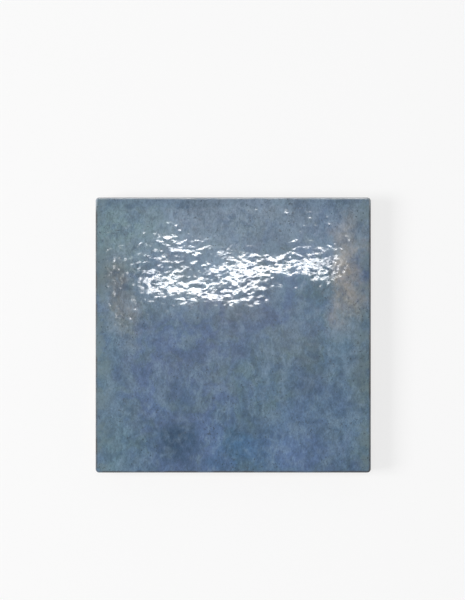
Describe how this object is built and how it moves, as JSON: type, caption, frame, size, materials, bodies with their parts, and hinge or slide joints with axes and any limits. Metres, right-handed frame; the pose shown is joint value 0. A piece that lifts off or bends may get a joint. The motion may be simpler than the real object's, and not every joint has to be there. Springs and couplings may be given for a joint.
{
  "type": "square wall tile",
  "caption": "Square glazed wall tile, mottled slate blue, with a softly waved glossy face, rounded arrises and a keyed back for adhesive.",
  "frame": {"origin": "centre of the flat grid of ribs on the back, the plane that the tile lies on", "axes": "+Z rises out of the glazed face; the sides are square to X and Y, with +Y the edge that is uppermost in the picture"},
  "size_m": [0.117, 0.117, 0.0102],
  "materials": {
    "blue_glazed_ceramic": "mottled slate-blue gloss glaze over the face, the arrises and the upper half of the sides; unglazed pale buff stoneware body below that and on the back"
  },
  "bodies": {
    "root": {"square_tile": "blue_glazed_ceramic"}
  },
  "joints": []
}
